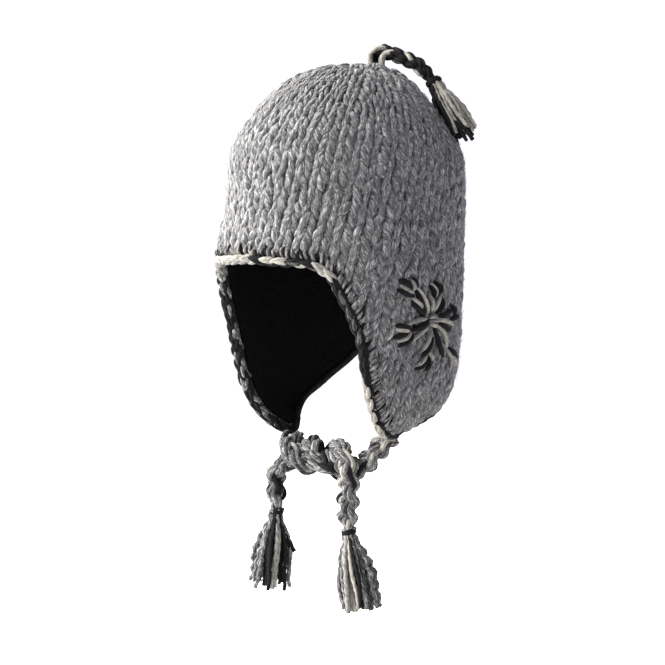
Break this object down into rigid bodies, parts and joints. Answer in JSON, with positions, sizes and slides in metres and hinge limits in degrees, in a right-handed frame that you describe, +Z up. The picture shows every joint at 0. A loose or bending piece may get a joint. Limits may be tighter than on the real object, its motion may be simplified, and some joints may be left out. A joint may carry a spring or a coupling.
{
  "type": "earflap hat",
  "caption": "Knitted winter hat with ear flaps, a fleece lining, a crocheted edge, plaited ties in a half knot with tassels, and a tasselled braid on the crown.",
  "frame": {"origin": "on the lining at the inside of the crown's top, where a head carries the hat", "axes": "+Z up out of the crown, -Y the way the wearer faces, +X the wearer's left"},
  "size_m": [0.182, 0.2121, 0.4452],
  "materials": {
    "heather_knit": "chunky heather grey stockinette of two-ply wool yarn, matte",
    "black_fleece": "black fleece, matte",
    "two_colour_chain": "crocheted chain braid in black, cream and grey wool, matte",
    "tweed_plait": "three-strand plait of light grey, cream and black wool, matte",
    "loose_yarn": "loose wool yarns in grey, cream and black, matte"
  },
  "bodies": {
    "root": {"knit_shell": "heather_knit", "fleece_lining": "black_fleece", "crochet_edge": "two_colour_chain", "right_tie": "tweed_plait", "left_tie": "tweed_plait", "crown_braid": "tweed_plait", "right_tie_tassel": "loose_yarn", "left_tie_tassel": "loose_yarn", "crown_tassel": "loose_yarn"}
  },
  "joints": []
}
